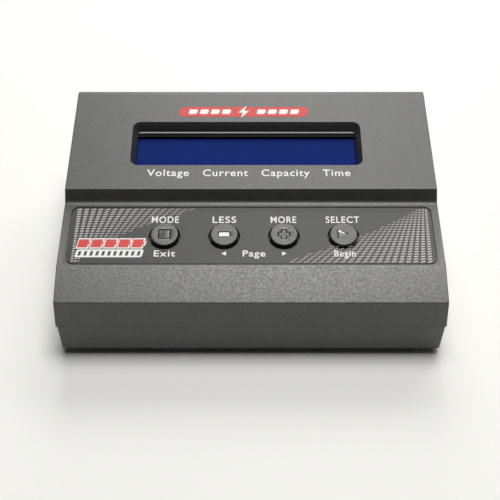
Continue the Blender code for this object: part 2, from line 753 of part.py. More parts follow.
def build_display():
    place = HOOD @ Matrix.Translation((*DISPLAY_CENTRE, 0.0))
    bezel = boxes("display_bezel", [centred_box(BEZEL_SIZE, BEZEL_TOP, BEZEL_HEIGHT)], BEZEL_PAINT, place)
    round_edges(bezel, 0.4 * MM)
    cavity = (BEZEL_SIZE[0] - 2 * SHEET, BEZEL_SIZE[1] - 2 * SHEET)
    cut(bezel,
        boxes("bezel_cavity", [centred_box(cavity, BEZEL_TOP - SHEET, BEZEL_HEIGHT + OVERCUT)], None, place),
        boxes("bezel_window", [centred_box(VIEWING_AREA, BEZEL_TOP + OVERCUT, 3 * OVERCUT)], None, place))
    glass_top = BEZEL_TOP - SHEET - GAP
    glass = boxes("display_glass", [centred_box(GLASS_SIZE, glass_top, GLASS_THICK)], DISPLAY_BLUE, place)
    round_edges(glass, GAP / 2, 1)
    light_top = glass_top - GLASS_THICK - GAP
    light_thick = BEZEL_HEIGHT - SHEET - GLASS_THICK - 3 * GAP
    boxes("display_backlight", [centred_box(BACKLIGHT_SIZE, light_top, light_thick)], DIFFUSER, place)
    board_top = BEZEL_TOP - BEZEL_HEIGHT - 2 * GAP
    u, v = DISPLAY_CENTRE
    holes = [(x - u, y - v, BOARD_HOLE_RADIUS, 12) for x, y in display_screw_places()]
    outline = rounded_outline(*DISPLAY_BOARD, 1.0 * MM, steps=2)
    put("display_board", flat_curve("display_board", outline, BOARD_THICK, holes), BOARD_GREEN,
        place @ Matrix.Translation((0.0, 0.0, board_top - BOARD_THICK / 2)))


# --- keypad -------------------------------------------------------------------------------------
# Levels under the keypad panel, from the key's flange down to the switch.
FLANGE_TOP = -WALL - GAP
STEM_BOTTOM = FLANGE_TOP - KEY_FLANGE - KEY_STEM
SWITCH_TOP = STEM_BOTTOM - GAP - PLUNGER_RISE


def build_overlay():
    u, v = OVERLAY_CENTRE
    holes = [(x - u, y - v, KEY_HOLE_RADIUS, 28) for x, y in key_places()]
    outline = rounded_outline(*OVERLAY_SIZE, OVERLAY_CORNER)
    middle = -RECESS_DEPTH + GAP + OVERLAY_THICK / 2
    put("keypad_overlay", flat_curve("keypad_overlay", outline, OVERLAY_THICK, holes), OVERLAY_FILM,
        KEYPAD @ Matrix.Translation((u, v, middle)))


def key_icon(which):
    """Outline of the sunk mark on a key's face."""
    reach = KEY_ICON_REACH
    arm = KEY_ICON_ARM
    if which == "stop":
        return [(-reach, -reach), (reach, -reach), (reach, reach), (-reach, reach)]
    if which == "decrease":
        return [(-reach, -arm), (reach, -arm), (reach, arm), (-reach, arm)]
    if which == "start":
        return [(-reach, -reach), (reach, 0.0), (-reach, reach)]
    quarter = [(reach, -arm), (reach, arm), (arm, arm)]
    points = []
    for turn in range(4):
        spin = Matrix.Rotation(math.radians(90 * turn), 2)
        points += [tuple(spin @ Vector(p)) for p in quarter]
    return points


def build_keys():
    for which, (x, y) in zip(KEY_NAMES, key_places()):
        place = KEYPAD @ Matrix.Translation((x, y, 0.0))
        build_key(which, place)
        build_switch(which, place)
    u, v = KEY_ROW
    size = 13 * MM
    outline = rounded_outline(3 * KEY_PITCH + size, size, 1.0 * MM, steps=2)
    board_top = SWITCH_TOP - SWITCH_HEIGHT - GAP
    put("key_board", flat_curve("key_board", outline, BOARD_THICK), BOARD_GREEN,
        KEYPAD @ Matrix.Translation((u, v, board_top - BOARD_THICK / 2)))


def build_key(which, place):
    """A round cap with a sunk mark, a flange that holds it under the cover and a stem below."""
    face_round = KEY_RADIUS - KEY_FACE_RADIUS
    break_round = 0.3 * face_round
    flange_bottom = FLANGE_TOP - KEY_FLANGE
    outline = [(0.0, KEY_TOP), (KEY_FACE_RADIUS, KEY_TOP), (KEY_RADIUS - break_round, KEY_TOP - break_round),
               (KEY_RADIUS, KEY_TOP - face_round), (KEY_RADIUS, FLANGE_TOP), (KEY_FLANGE_RADIUS, FLANGE_TOP),
               (KEY_FLANGE_RADIUS, flange_bottom), (KEY_STEM_RADIUS, flange_bottom),
               (KEY_STEM_RADIUS, STEM_BOTTOM), (0.0, STEM_BOTTOM)]
    key = spun(f"{which}_key", outline, KEY_GREY, place, segments=28)
    icon = put(f"{which}_icon", flat_curve(f"{which}_icon", key_icon(which), 2 * KEY_ICON_DEPTH), None,
               place @ Matrix.Translation((0.0, 0.0, KEY_TOP)))
    cut(key, icon)


def build_switch(which, place):
    """A tactile switch: a square body with a round well, and the plunger in it."""
    half = SWITCH_SIZE / 2
    body = boxes(f"{which}_switch_body", [((-half, -half, SWITCH_TOP - SWITCH_HEIGHT),
                                           (half, half, SWITCH_TOP))], SWITCH_BLACK, place)
    cut(body, rods(f"{which}_switch_well", [((0, 0, SWITCH_TOP - SWITCH_WELL_DEPTH), (0, 0, 0),
                                             SWITCH_WELL_RADIUS)], None, place, segments=16))
    top = STEM_BOTTOM - GAP
    bottom = SWITCH_TOP - PLUNGER_DEPTH
    outline = [(0.0, top), (PLUNGER_RADIUS - GAP, top), (PLUNGER_RADIUS, top - GAP),
               (PLUNGER_RADIUS, bottom), (0.0, bottom)]
    spun(f"{which}_switch_plunger", outline, SWITCH_BLACK, place, segments=16)


# --- boards and power parts ---------------------------------------------------------------------
def build_main_board():
    outline = rounded_outline(2 * BOARD_HALF[0], 2 * BOARD_HALF[1], 1.5 * MM, steps=2)
    holes = [(x, y, BOARD_HOLE_RADIUS, 12) for x, y in at_corners(BOARD_POST_PLACE)]
    put("main_board", flat_curve("main_board", outline, BOARD_THICK, holes), BOARD_GREEN,
        Matrix.Translation((0.0, 0.0, MAIN_BOARD_Z + BOARD_THICK / 2)))
    x, y = CHIP_CENTRE
    half = CHIP_SIZE / 2
    chip = ((x - half, y - half, ON_BOARD), (x + half, y + half, ON_BOARD + CHIP_HEIGHT))
    boxes("microcontroller", [chip], EPOXY)


def build_transistors():
    row_x, y = TRANSISTOR_ROW
    for i in range(4):
        build_transistor(f"power_transistor_{i + 1}", row_x + (i - 1.5) * TRANSISTOR_PITCH, y, ON_BOARD)


def build_transistor(name, x, y, z):
    """A surface-mounted power transistor: body, tab at the back and two legs at the front."""
    width, depth, height = TRANSISTOR_SIZE
    half_x = width / 2
    half_y = depth / 2
    bite = 0.4 * MM
    tab = 1.2 * MM
    tab_half_x = half_x - OVERCUT
    leads = [((x - tab_half_x, y + half_y - bite, z), (x + tab_half_x, y + half_y + tab, z + tab))]
    for leg in (-2.5 * MM, 2.5 * MM):
        leads.append(((x + leg - bite, y - 7.5 * MM, z), (x + leg + bite, y - half_y + bite, z + 0.6 * MM)))
    body = boxes(name, [((x - half_x, y - half_y, z), (x + half_x, y + half_y, z + height))], EPOXY)
    join(body, boxes(name + "_leads", leads, None))


def build_heat_sink():
    """A comb of fins over the power transistors, with the fins along Y."""
    low_x, high_x = SINK_X
    low_y, high_y = SINK_Y
    z = ON_BOARD + TRANSISTOR_SIZE[2] + GAP
    sink = boxes("heat_sink", [((low_x, low_y, z), (high_x, high_y, z + SINK_BASE))], ALUMINIUM)
    half = FIN_THICK / 2
    end = half + GAP
    trim = 0.2 * MM
    fins = []
    for i in range(FIN_COUNT):
        x = low_x + end + (high_x - low_x - 2 * end) * i / (FIN_COUNT - 1)
        fins.append(((x - half, low_y + trim, z + SINK_BASE / 2), (x + half, high_y - trim, z + SINK_HEIGHT)))
    join(sink, boxes("heat_sink_fins", fins, None))


def build_capacitors():
    """Two electrolytic cans, each with a crimped groove near its foot."""
    radius = CAPACITOR_RADIUS
    groove = 0.4 * MM
    outline = [(0.0, CAPACITOR_HEIGHT), (radius - GAP, CAPACITOR_HEIGHT), (radius, CAPACITOR_HEIGHT - GAP),
               (radius, 4 * groove), (radius - groove, 3 * groove), (radius, 2 * groove),
               (radius, 0.0), (0.0, 0.0)]
    for number, x in enumerate(CAPACITOR_X, 1):
        spun(f"capacitor_{number}", outline, CAN_SLEEVE, Matrix.Translation((x, CAPACITOR_Y, ON_BOARD)))


def build_buzzer():
    rim = 0.9 * MM
    step = 0.4 * MM
    outline = [(0.0, BUZZER_HEIGHT), (rim, BUZZER_HEIGHT), (rim, BUZZER_HEIGHT - rim),
               (BUZZER_RADIUS - step, BUZZER_HEIGHT - rim), (BUZZER_RADIUS, BUZZER_HEIGHT - rim - step),
               (BUZZER_RADIUS, 0.0), (0.0, 0.0)]
    spun("buzzer", outline, EPOXY, Matrix.Translation((*BUZZER_PLACE, ON_BOARD)))


def build_inductor():
    """A ring core that lies on the board, and the wire wound around it."""
    coil = CORE_THICK + GAP + WIRE_RADIUS
    place = Matrix.Translation((*COIL_PLACE, ON_BOARD + coil + WIRE_RADIUS))
    sides = 10
    outline = []
    for i in range(sides + 1):
        angle = math.radians(90 - 360 * i / sides)
        outline.append((CORE_RADIUS + CORE_THICK * math.cos(angle), CORE_THICK * math.sin(angle)))
    spun("inductor_core", outline, FERRITE, place)
    per_turn = 8
    count = WIRE_TURNS * per_turn
    curve = bpy.data.curves.new("inductor_winding", "CURVE")
    curve.dimensions = "3D"
    curve.bevel_depth = WIRE_RADIUS
    curve.bevel_resolution = 1
    curve.use_fill_caps = True
    spline = curve.splines.new("POLY")
    spline.points.add(count)
    for i, point in enumerate(spline.points):
        around = math.radians(310) * i / count
        tube = 2 * math.pi * i / per_turn
        radius = CORE_RADIUS + coil * math.cos(tube)
        point.co = (radius * math.cos(around), radius * math.sin(around), coil * math.sin(tube), 1.0)
    put("inductor_winding", curve_mesh("inductor_winding", curve, smooth=True), COPPER, place)


# --- sockets ------------------------------------------------------------------------------------
def build_balance_sockets():
    board_x = SOCKET_FACE_X - SOCKET_LENGTH - GAP
    board = boxes("balance_board", [((board_x - BOARD_THICK, -25.4 * MM, 5.2 * MM),
                                     (board_x, 26.0 * MM, 23.0 * MM))], BOARD_GREEN)
    clear = OUTPUT_RADIUS + 2 * GAP
    passages = [((board_x - 6 * MM, y, UPPER_ROW_Z), (board_x + 6 * MM, y, UPPER_ROW_Z), clear)
                for y in OUTPUT_Y]
    cut(board, rods("output_passages", passages, None))
    for pins, y, z in socket_places():
        build_balance_socket(f"balance_socket_{pins}_pin", pins, y, z)


def build_balance_socket(name, pins, y, z):
    """A shrouded header that opens to the side, with a row of pins and two keyways above them."""
    half = socket_width(pins) / 2
    tall = SOCKET_HEIGHT / 2
    back = SOCKET_FACE_X - SOCKET_LENGTH
    outside = SOCKET_FACE_X + OVERCUT
    shroud = boxes(name, [((back, y - half, z - tall), (SOCKET_FACE_X, y + half, z + tall))], SOCKET_WHITE)
    hollow = ((back + 1.6 * MM, y - half + SOCKET_SKIN, z - tall + SOCKET_SKIN),
              (outside, y + half - SOCKET_SKIN, z + tall - SOCKET_SKIN))
    keyway = 0.5 * MM
    keyways = []
    for side in (-1, 1):
        middle = y + side * (half - 2.2 * MM)
        keyways.append(((back + 3 * MM, middle - keyway, z + tall - OVERCUT),
                        (outside, middle + keyway, z + tall + OVERCUT)))
    cut(shroud, boxes(name + "_hollow", [hollow], None), boxes(name + "_keyways", keyways, None))
    pin = 0.32 * MM
    pin_z = z - 0.6 * MM
    pin_rods = []
    for i in range(pins):
        pin_y = y + SOCKET_PITCH * (i - (pins - 1) / 2)
        pin_rods.append(((back + OVERCUT, pin_y - pin, pin_z - pin),
                         (SOCKET_FACE_X - 1.4 * MM, pin_y + pin, pin_z + pin)))
    join(shroud, boxes(name + "_pins", pin_rods, None))


def build_output_sockets():
    """Two 4 mm sockets: an insulating tube and, in it, a metal sleeve open at the face."""
    edge = 0.4 * MM
    face = -2 * GAP
    end = -OUTPUT_LENGTH - 2 * MM
    well = -OUTPUT_LENGTH + OVERCUT
    body = [(OUTPUT_BORE_RADIUS, 0.0), (OUTPUT_RADIUS - edge, 0.0), (OUTPUT_RADIUS, -edge),
            (OUTPUT_RADIUS, -OUTPUT_LENGTH), (OUTPUT_BORE_RADIUS, -OUTPUT_LENGTH), (OUTPUT_BORE_RADIUS, 0.0)]
    sleeve = [(SLEEVE_BORE_RADIUS, face), (SLEEVE_RADIUS, face), (SLEEVE_RADIUS, end), (0.0, end),
              (0.0, well), (SLEEVE_BORE_RADIUS, well), (SLEEVE_BORE_RADIUS, face)]
    sideways = Matrix.Rotation(math.radians(90), 4, "Y")
    for name, look, y in (("negative", SOCKET_BLACK, OUTPUT_Y[0]), ("positive", SOCKET_RED, OUTPUT_Y[1])):
        place = Matrix.Translation((OUTPUT_FACE_X, y, UPPER_ROW_Z)) @ sideways
        spun(f"output_socket_{name}", body, look, place)
        spun(f"output_sleeve_{name}", sleeve, BRASS, place)


def port_block(name, y, half, top):
    """A port's body behind the left wall, with the foot that stands on the main board."""
    block = boxes(name, [((PORT_FACE_X, y - half, PORT_BOTTOM), (PORT_BACK_X, y + half, top))], EPOXY)
    foot = ((PORT_FOOT_X, y - half, ON_BOARD), (PORT_BACK_X, y + half, PORT_BOTTOM + OVERCUT))
    join(block, boxes(name + "_foot", [foot], None))
    return block


def build_input_jack():
    """Barrel jack for the supply: a block with a round socket and its centre pin."""
    top = ON_BOARD + JACK_HEIGHT
    middle = (PORT_BOTTOM + top) / 2
    block = port_block("input_jack", JACK_Y, JACK_HALF_WIDTH, top)
    start = PORT_FACE_X - OVERCUT
    end = PORT_FACE_X + 10 * MM
    bore = ((start, JACK_Y, middle), (end, JACK_Y, middle), JACK_BORE_RADIUS)
    pin = ((PORT_FACE_X + OVERCUT, JACK_Y, middle), (end + OVERCUT, JACK_Y, middle), JACK_PIN_RADIUS)
    cut(block, rods("input_jack_bore", [bore], None))
    join(block, rods("input_jack_pin", [pin], None, segments=12))


def build_data_port():
    """Three-pin port for a temperature probe."""
    top = PORT_BOTTOM + DATA_HEIGHT
    block = port_block("data_port", DATA_Y, DATA_HALF_WIDTH, top)
    skin = 0.45 * MM
    hollow = ((PORT_FACE_X - OVERCUT, DATA_Y - DATA_HALF_WIDTH + skin, PORT_BOTTOM + skin),
              (PORT_FACE_X + 7 * MM, DATA_Y + DATA_HALF_WIDTH - skin, top - skin))
    pin = 0.3 * MM
    pin_z = (PORT_BOTTOM + top) / 2
    pins = []
    for i in (-1, 0, 1):
        pin_y = DATA_Y + i * DATA_PIN_PITCH
        pins.append(((PORT_FACE_X + OVERCUT, pin_y - pin, pin_z - pin),
                     (PORT_FACE_X + 8 * MM, pin_y + pin, pin_z + pin)))
    cut(block, boxes("data_port_hollow", [hollow], None))
    join(block, boxes("data_port_pins", pins, None))


# --- fan ----------------------------------------------------------------------------------------
def spoke(name, low, high, place):
    """A flat bar between two corners in its own frame."""
    return boxes(name, [(low, high)], None, place)


def build_fan():
    """A square frame with three arms that hold the motor, and a rotor with its blades."""
    place = Matrix.Translation(FAN_CENTRE) @ Matrix.Rotation(math.radians(90), 4, "Y")
    half = FAN_SIZE / 2
    deep = FAN_DEPTH / 2
    base_bottom = deep - 1.2 * MM
    frame = boxes("fan_frame", [((-half, -half, -deep), (half, half, deep))], FAN_BLACK, place)
    bore = ((0, 0, -deep - OVERCUT), (0, 0, deep + OVERCUT), FAN_BORE_RADIUS)
    motor = ((0, 0, base_bottom), (0, 0, deep), HUB_RADIUS)
    arms = []
    for i in range(3):
        spin = Matrix.Rotation(math.radians(120 * i + 20), 4, "Z")
        arms.append(spoke(f"fan_arm_{i}", (HUB_RADIUS - OVERCUT, -0.7 * MM, base_bottom + 0.1 * MM),
                          (FAN_BORE_RADIUS + 0.6 * MM, 0.7 * MM, deep - 0.1 * MM), place @ spin))
    cut(frame, rods("fan_bore", [bore], None, place, segments=40))
    join(frame, rods("fan_motor_base", [motor], None, place), *arms)
    hub_top = base_bottom - GAP
    hub_bottom = -deep + 0.5 * MM
    edge = 0.4 * MM
    rotor = spun("fan_rotor", [(0.0, hub_top), (HUB_RADIUS, hub_top), (HUB_RADIUS, hub_bottom + edge),
                               (HUB_RADIUS - edge, hub_bottom), (0.0, hub_bottom)], FAN_BLACK, place)
    middle = Matrix.Translation((0, 0, (hub_top + hub_bottom) / 2))
    for i in range(BLADE_COUNT):
        turn = Matrix.Rotation(2 * math.pi * i / BLADE_COUNT, 4, "Z") @ Matrix.Rotation(BLADE_PITCH, 4, "X")
        join(rotor, spoke(f"fan_blade_{i}", (HUB_RADIUS - 0.8 * MM, -BLADE_WIDTH / 2, -BLADE_THICK / 2),
                          (BLADE_REACH, BLADE_WIDTH / 2, BLADE_THICK / 2), place @ middle @ turn))


SOCKET_OPENINGS = side_openings()
build_top_cover(SOCKET_OPENINGS)
build_bottom_case(SOCKET_OPENINGS)
build_feet()
build_screws()
build_display()
build_overlay()
build_keys()
build_main_board()
build_transistors()
build_heat_sink()
build_capacitors()
build_buzzer()
build_inductor()
build_balance_sockets()
build_output_sockets()
build_input_jack()
build_data_port()
build_fan()

# --- place over the origin ------------------------------------------------------------------------
for obj in bpy.data.objects:
    if obj.parent is None:
        obj.location.y -= ORIGIN_SHIFT
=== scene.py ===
"""Looks of the balance battery charger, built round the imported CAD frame. Metres, +Z up."""

import json
import math

import bmesh
import bpy
from mathutils import Matrix, Vector


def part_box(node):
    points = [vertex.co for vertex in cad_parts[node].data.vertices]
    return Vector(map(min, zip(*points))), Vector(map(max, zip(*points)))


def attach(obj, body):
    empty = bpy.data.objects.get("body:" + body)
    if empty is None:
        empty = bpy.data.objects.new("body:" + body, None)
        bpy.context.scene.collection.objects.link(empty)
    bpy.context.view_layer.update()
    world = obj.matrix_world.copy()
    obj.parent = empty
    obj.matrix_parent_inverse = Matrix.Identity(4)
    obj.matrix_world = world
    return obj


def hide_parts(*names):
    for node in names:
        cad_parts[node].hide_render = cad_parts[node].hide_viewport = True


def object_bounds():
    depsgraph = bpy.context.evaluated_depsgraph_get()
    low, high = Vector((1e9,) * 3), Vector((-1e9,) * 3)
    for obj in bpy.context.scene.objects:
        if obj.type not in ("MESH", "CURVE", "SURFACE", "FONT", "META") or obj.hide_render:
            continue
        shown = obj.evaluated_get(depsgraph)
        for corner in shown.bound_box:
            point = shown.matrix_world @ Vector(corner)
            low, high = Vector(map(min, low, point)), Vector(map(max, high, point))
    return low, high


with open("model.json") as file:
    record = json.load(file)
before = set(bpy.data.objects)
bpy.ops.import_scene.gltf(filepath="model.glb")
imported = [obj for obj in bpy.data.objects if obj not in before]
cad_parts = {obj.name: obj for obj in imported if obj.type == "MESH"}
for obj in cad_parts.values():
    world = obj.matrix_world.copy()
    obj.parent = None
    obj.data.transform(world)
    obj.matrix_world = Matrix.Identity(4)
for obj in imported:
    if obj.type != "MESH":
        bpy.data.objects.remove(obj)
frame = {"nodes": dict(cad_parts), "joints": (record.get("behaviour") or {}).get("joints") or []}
CAD_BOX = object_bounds()
NODES = frame["nodes"]
MM = 0.001


# --- panel frames, read from the CAD -----------------------------------------------------------
PRESS = Vector(next(j for j in frame["joints"] if j["name"] == "stop_press")["axis"])
NORMAL = -PRESS
TILT = math.atan2(-NORMAL.y, NORMAL.z)
KEYS = ("stop", "decrease", "increase", "start")


def heights(node):
    """Distances of a CAD node's points along the panels' normal."""
    return [v.co.dot(NORMAL) for v in NODES[node].data.vertices]


def level(node):
    """Greatest distance of a CAD node along the panels' normal."""
    return max(heights(node))


def middle(node):
    """Middle of a CAD node's box."""
    low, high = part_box(node)
    return (low + high) / 2


def panel(centre, height):
    """Frame on a tilted panel: X to the right, Y uphill, Z out, with its origin at this height."""
    flat = centre - NORMAL * centre.dot(NORMAL)
    return Matrix.Translation(flat + NORMAL * height) @ Matrix.Rotation(TILT, 4, "X")


HOOD = panel(middle("display_bezel"), level("top_cover"))
LABEL = panel(middle("keypad_overlay"), level("keypad_overlay"))


# --- materials ---------------------------------------------------------------------------------
class Look:
    """A material and a few shortcuts for its node tree."""

    def __init__(self, name, **constants):
        self.material = bpy.data.materials.new(name)
        self.material.use_nodes = True
        self.tree = self.material.node_tree
        self.shader = self.tree.nodes["Principled BSDF"]
        for socket, value in constants.items():
            self.shader.inputs[socket.replace("_", " ")].default_value = value
        self.place = self.tree.nodes.new("ShaderNodeTexCoord").outputs["Object"]

    def noise(self, scale, detail=2.0, roughness=0.5, kind="ShaderNodeTexNoise", stretch=None):
        """First output of a noise or cell texture. Where stretch is small, it changes slowly."""
        node = self.tree.nodes.new(kind)
        node.inputs["Scale"].default_value = scale
        if kind == "ShaderNodeTexNoise":
            node.inputs["Detail"].default_value = detail
            node.inputs["Roughness"].default_value = roughness
        place = self.place
        if stretch is not None:
            mapping = self.tree.nodes.new("ShaderNodeMapping")
            mapping.inputs["Scale"].default_value = stretch
            self.tree.links.new(place, mapping.inputs["Vector"])
            place = mapping.outputs["Vector"]
        self.tree.links.new(place, node.inputs["Vector"])
        return node.outputs[0]

    def ramp(self, value, low, high, start=0.3, end=0.7):
        """Maps a value from start..end to a colour or a number between low and high."""
        if isinstance(low, float):
            node = self.tree.nodes.new("ShaderNodeMapRange")
            node.inputs["From Min"].default_value = start
            node.inputs["From Max"].default_value = end
            node.inputs["To Min"].default_value = low
            node.inputs["To Max"].default_value = high
            self.tree.links.new(value, node.inputs["Value"])
            return node.outputs["Result"]
        node = self.tree.nodes.new("ShaderNodeValToRGB")
        first, last = node.color_ramp.elements
        first.position = start
        last.position = end
        first.color = (*low, 1.0)
        last.color = (*high, 1.0)
        self.tree.links.new(value, node.inputs["Fac"])
        return node.outputs["Color"]

    def bump(self, height, strength, distance):
        """Normal of a surface raised by height."""
        node = self.tree.nodes.new("ShaderNodeBump")
        node.inputs["Strength"].default_value = strength
        node.inputs["Distance"].default_value = distance
        self.tree.links.new(height, node.inputs["Height"])
        return node.outputs["Normal"]

    def set(self, socket, value):
        """Links a value to a socket of the shader."""
        self.tree.links.new(value, self.shader.inputs[socket])


def scaled(colour, factor):
    """Lighter or darker colour."""
    return tuple(c * factor for c in colour)


def moulded(name, colour, rough, grain=2400.0, depth=0.35, spread=0.06, **constants):
    """Plastic, rubber, film or ink: fine grain, faint mottling and uneven gloss."""
    look = Look(name, **constants)
    speckle = look.noise(grain * 0.5, 4.0, 0.65)
    look.set("Base Color", look.ramp(speckle, scaled(colour, 1 - spread), scaled(colour, 1 + spread)))
    look.set("Roughness", look.ramp(look.noise(grain * 0.7, 2.0), rough - 0.06, rough + 0.06))
    look.set("Normal", look.bump(look.noise(grain, 3.0, 0.6), depth, 0.05 * MM))
    return look.material


def metal(name, colour, rough, stretch=(1.0, 1.0, 1.0)):
    """Bare or plated metal, brushed along the axes where stretch is smallest."""
    look = Look(name, Metallic=1.0)
    lines = look.noise(900.0, 4.0, 0.6, stretch=stretch)
    look.set("Base Color", look.ramp(look.noise(150.0), scaled(colour, 0.85), scaled(colour, 1.1)))
    look.set("Roughness", look.ramp(lines, rough - 0.08, rough + 0.1))
    look.set("Normal", look.bump(lines, 0.12, 0.02 * MM))
    return look.material


def liquid_crystal():
    """Deep blue display with the faint cells of its two rows of characters."""
    look = Look("liquid_crystal", Roughness=0.2, Specular_IOR_Level=0.015)
    place = look.tree.nodes.new("ShaderNodeMapping")
    place.vector_type = "TEXTURE"
    place.inputs["Location"].default_value = middle("display_glass")
    place.inputs["Rotation"].default_value = (TILT, 0.0, 0.0)
    look.tree.links.new(look.place, place.inputs["Vector"])
    cells = look.tree.nodes.new("ShaderNodeTexBrick")
    cells.offset = 0.0
    for socket, value in (
        ("Scale", 1.0), ("Mortar Size", 0.25 * MM), ("Mortar Smooth", 0.3),
        ("Brick Width", 3.6 * MM), ("Row Height", 6.2 * MM),
        ("Color1", (0.0075, 0.0205, 0.147, 1.0)), ("Color2", (0.0078, 0.021, 0.15, 1.0)),
        ("Mortar", (0.0068, 0.019, 0.138, 1.0)),
    ):
        cells.inputs[socket].default_value = value
    look.tree.links.new(place.outputs["Vector"], cells.inputs["Vector"])
    look.set("Base Color", cells.outputs["Color"])
    look.set("Normal", look.bump(look.noise(700.0), 0.02, 0.02 * MM))
    return look.material


def circuit_board():
    """Green solder mask over a faint weave, with darker lanes that have no copper."""
    look = Look("solder_mask")
    lanes = look.noise(420.0, kind="ShaderNodeTexVoronoi")
    look.set("Base Color", look.ramp(lanes, (0.008, 0.09, 0.035), (0.02, 0.17, 0.07), 0.2, 0.5))
    look.set("Roughness", look.ramp(look.noise(300.0), 0.25, 0.45))
    look.set("Normal", look.bump(look.noise(2500.0, stretch=(1.0, 1.0, 0.2)), 0.3, 0.05 * MM))
    return look.material


CASE = moulded("case_texture", (0.027, 0.027, 0.0255), 0.46, grain=2200.0, depth=0.6, spread=0.5,
               Specular_IOR_Level=1.0)
KEY = moulded("key_plastic", (0.035, 0.035, 0.034), 0.42, grain=3200.0, depth=0.2,
              Specular_IOR_Level=1.0)
FILM = moulded("overlay_film", (0.03, 0.03, 0.029), 0.36, grain=4200.0, depth=0.15,
               Specular_IOR_Level=0.6)
RUBBER = moulded("foot_rubber", (0.02, 0.02, 0.02), 0.8, depth=0.6)
STEEL = metal("screw_steel", (0.5, 0.5, 0.51), 0.32)
SHELL = metal("switch_shell", (0.55, 0.55, 0.56), 0.35, stretch=(1.0, 8.0, 1.0))
ALUMINIUM = metal("extruded_aluminium", (0.7, 0.7, 0.72), 0.38, stretch=(1.0, 0.08, 1.0))
BRASS = metal("contact_brass", (0.8, 0.58, 0.22), 0.22)
TIN = metal("tin_plate", (0.66, 0.65, 0.62), 0.25)
COPPER = moulded("enamelled_copper", (0.45, 0.16, 0.05), 0.25, grain=1500.0, depth=0.1, Metallic=0.8)
ENAMEL = moulded("bezel_enamel", (0.004, 0.004, 0.005), 0.4, grain=3000.0, depth=0.1,
                 Specular_IOR_Level=0.15)
BLACK_NYLON = moulded("black_nylon", (0.018, 0.018, 0.018), 0.42, depth=0.25)
RED_NYLON = moulded("red_nylon", (0.5, 0.012, 0.01), 0.35, depth=0.15)
WHITE_NYLON = moulded("white_nylon", (0.72, 0.69, 0.6), 0.38, depth=0.2, spread=0.04)
EPOXY = moulded("moulded_epoxy", (0.02, 0.02, 0.021), 0.5, grain=2800.0, depth=0.35)
FERRITE = moulded("coated_core", (0.42, 0.36, 0.05), 0.55, depth=0.5)
SLEEVE = moulded("capacitor_sleeve", (0.02, 0.03, 0.11), 0.3, depth=0.1)
DIFFUSER = moulded("light_guide", (0.72, 0.78, 0.85), 0.3, depth=0.1, spread=0.03)
WHITE_INK = moulded("white_ink", (0.8, 0.8, 0.79), 0.5, grain=3500.0, depth=0.1, spread=0.03)
SILVER_INK = moulded("silver_ink", (0.5, 0.495, 0.48), 0.45, grain=3500.0, depth=0.1, spread=0.05)
RED_INK = moulded("red_ink", (0.62, 0.035, 0.03), 0.5, grain=3500.0, depth=0.1, spread=0.05)
DARK_INK = moulded("dark_ink", (0.03, 0.03, 0.03), 0.5, grain=3500.0, depth=0.1)
POLISHED = moulded("polished_mark", (0.09, 0.09, 0.087), 0.2, grain=1800.0, depth=0.05,
                   Specular_IOR_Level=1.0)
# Near-black sheet under each key's mark: painted shade in the gap round the mark's floor.
PAINTED_SHADE_BLACK = moulded("painted_shade_black", (0.003, 0.003, 0.003), 0.9, depth=0.1, Specular_IOR_Level=0.1)
# Light grey ring: painted highlight, standing in for the bright line at the window's inner edge.
PAINTED_HIGHLIGHT_GASKET = moulded("gasket_painted_highlight", (0.5, 0.5, 0.48), 0.6, depth=0.3)
LCD = liquid_crystal()
BOARD = circuit_board()

BY_NODE = {
    "top_cover": CASE, "bottom_case": CASE, "keypad_overlay": FILM, "display_bezel": ENAMEL,
    "display_glass": LCD, "display_backlight": DIFFUSER, "heat_sink": ALUMINIUM,
    "microcontroller": EPOXY, "buzzer": EPOXY, "input_jack": BLACK_NYLON, "data_port": BLACK_NYLON,
    "inductor_core": FERRITE, "inductor_winding": COPPER, "output_socket_positive": RED_NYLON,
    "output_socket_negative": BLACK_NYLON, "fan_frame": BLACK_NYLON, "fan_rotor": BLACK_NYLON,
}
BY_WORD = (
    ("foot_", RUBBER), ("screw", STEEL), ("_switch_body", SHELL), ("_switch_plunger", BLACK_NYLON),
    ("_key", KEY), ("board", BOARD), ("power_transistor", EPOXY), ("capacitor", SLEEVE),
    ("balance_socket", WHITE_NYLON), ("output_sleeve", BRASS),
)


def dress(obj, material):
    """Gives an object one material."""
    obj.data.materials.clear()
    obj.data.materials.append(material)


for node, obj in NODES.items():
    found = BY_NODE.get(node) or next(look for word, look in BY_WORD if word in node)
    dress(obj, found)


# --- smooth shading of the CAD nodes -----------------------------------------------------------
SHARP_EDGE = math.radians(33)
TOUCHING = 0.001 * MM


def smooth_by_angle():
    """Node group that welds a faceted solid and smooths it, except over its sharp edges."""
    group = bpy.data.node_groups.new("smooth_by_angle", "GeometryNodeTree")
    for way in ("INPUT", "OUTPUT"):
        group.interface.new_socket("Geometry", in_out=way, socket_type="NodeSocketGeometry")
    start = group.nodes.new("NodeGroupInput")
    weld = group.nodes.new("GeometryNodeMergeByDistance")
    weld.inputs["Distance"].default_value = TOUCHING
    faces = group.nodes.new("GeometryNodeSetShadeSmooth")
    faces.domain = "FACE"
    edges = group.nodes.new("GeometryNodeSetShadeSmooth")
    edges.domain = "EDGE"
    edges.inputs["Shade Smooth"].default_value = False
    angle = group.nodes.new("GeometryNodeInputMeshEdgeAngle")
    sharp = group.nodes.new("FunctionNodeCompare")
    sharp.inputs["B"].default_value = SHARP_EDGE
    end = group.nodes.new("NodeGroupOutput")
    link = group.links.new
    link(start.outputs[0], weld.inputs["Geometry"])
    link(weld.outputs["Geometry"], faces.inputs["Geometry"])
    link(faces.outputs["Geometry"], edges.inputs["Geometry"])
    link(angle.outputs["Unsigned Angle"], sharp.inputs["A"])
    link(sharp.outputs["Result"], edges.inputs["Selection"])
    link(edges.outputs["Geometry"], end.inputs[0])
    return group


def weigh_normals(obj):
    """Keeps an object's flat faces flat beside its round ones."""
    obj.modifiers.new("Weighted normals", "WEIGHTED_NORMAL").keep_sharp = True


